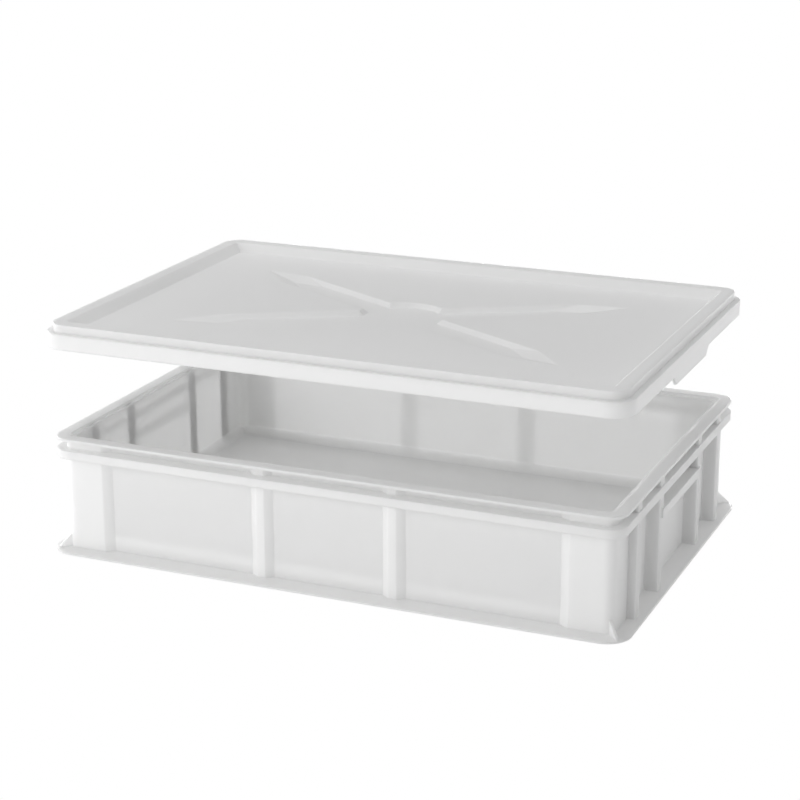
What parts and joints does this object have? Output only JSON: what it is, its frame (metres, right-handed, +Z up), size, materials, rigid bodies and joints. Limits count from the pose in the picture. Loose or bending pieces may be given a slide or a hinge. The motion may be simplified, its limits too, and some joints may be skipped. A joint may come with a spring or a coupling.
{
  "type": "dough proofing container",
  "caption": "Shallow rectangular dough proofing container: a ribbed stacking tray with a flanged foot and end grips, and a skirted lift-off lid with a sunk cross, held above it.",
  "frame": {"origin": "centre of the foot ring on the surface the tray stands on", "axes": "+X along the tray's length, +Y along its width, +Z up, the way the lid lifts"},
  "size_m": [0.612, 0.412, 0.24],
  "materials": {
    "tray_plastic": "milky translucent, soft satin",
    "lid_plastic": "milky translucent, soft satin"
  },
  "bodies": {
    "tray": {"tray": "tray_plastic"},
    "lid": {"lid": "lid_plastic"}
  },
  "joints": [
    {"name": "lid_lift", "type": "slide", "parent": "tray", "child": "lid", "axis": [0, 0, 1], "range_m": [-0.1068, 0.08]}
  ]
}
